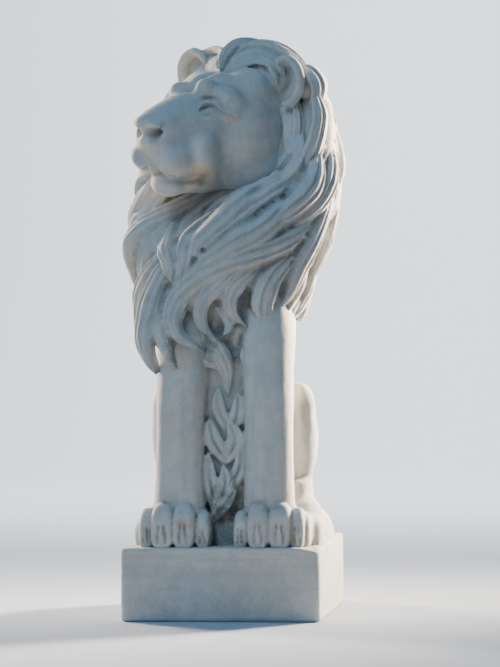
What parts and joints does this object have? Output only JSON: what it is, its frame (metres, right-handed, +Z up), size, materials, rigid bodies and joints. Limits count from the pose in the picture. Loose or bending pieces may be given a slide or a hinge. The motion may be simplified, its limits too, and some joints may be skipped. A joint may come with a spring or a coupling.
{
  "type": "sitting lion statue",
  "caption": "Upright sitting lion of pale cast stone on a rectangular plinth, head turned to its right, long locked mane and leaf relief between the forelegs.",
  "frame": {"origin": "middle of the plinth's flat underside", "axes": "+Z up, the lion faces -Y, its left side is at +X and its head is turned towards -X"},
  "size_m": [0.4416, 0.46, 1.1167],
  "materials": {
    "cast_stone": "matt cast stone, weathered, with air-bubble pinholes and greenish-grey dirt in its grooves"
  },
  "bodies": {
    "root": {"lion_statue": "cast_stone"}
  },
  "joints": []
}
